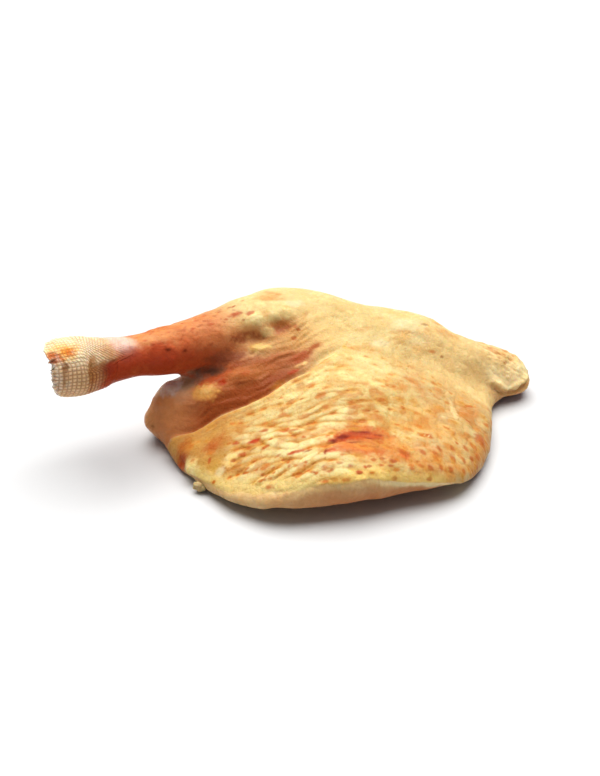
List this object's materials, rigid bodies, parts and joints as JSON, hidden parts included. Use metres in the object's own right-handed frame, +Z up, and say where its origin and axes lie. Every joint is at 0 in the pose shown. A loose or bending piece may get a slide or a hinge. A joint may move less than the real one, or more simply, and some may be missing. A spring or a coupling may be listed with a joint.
{
  "type": "raw duck leg",
  "caption": "Raw poultry leg with skin: bent drumstick with a scaly hock, rounded thigh and a broad skin flap, lying on its flesh side.",
  "frame": {"origin": "the underside mount: on the flat underside, below the middle of the flap", "axes": "+X along the leg from the hock to the tail of the thigh, +Y from the flap's cut edge to the back, +Z up"},
  "size_m": [0.2193, 0.1394, 0.0625],
  "materials": {
    "skin": "moist cream-yellow skin over fat, redder on the drumstick"
  },
  "bodies": {
    "root": {"duck_leg": "skin"}
  },
  "joints": []
}
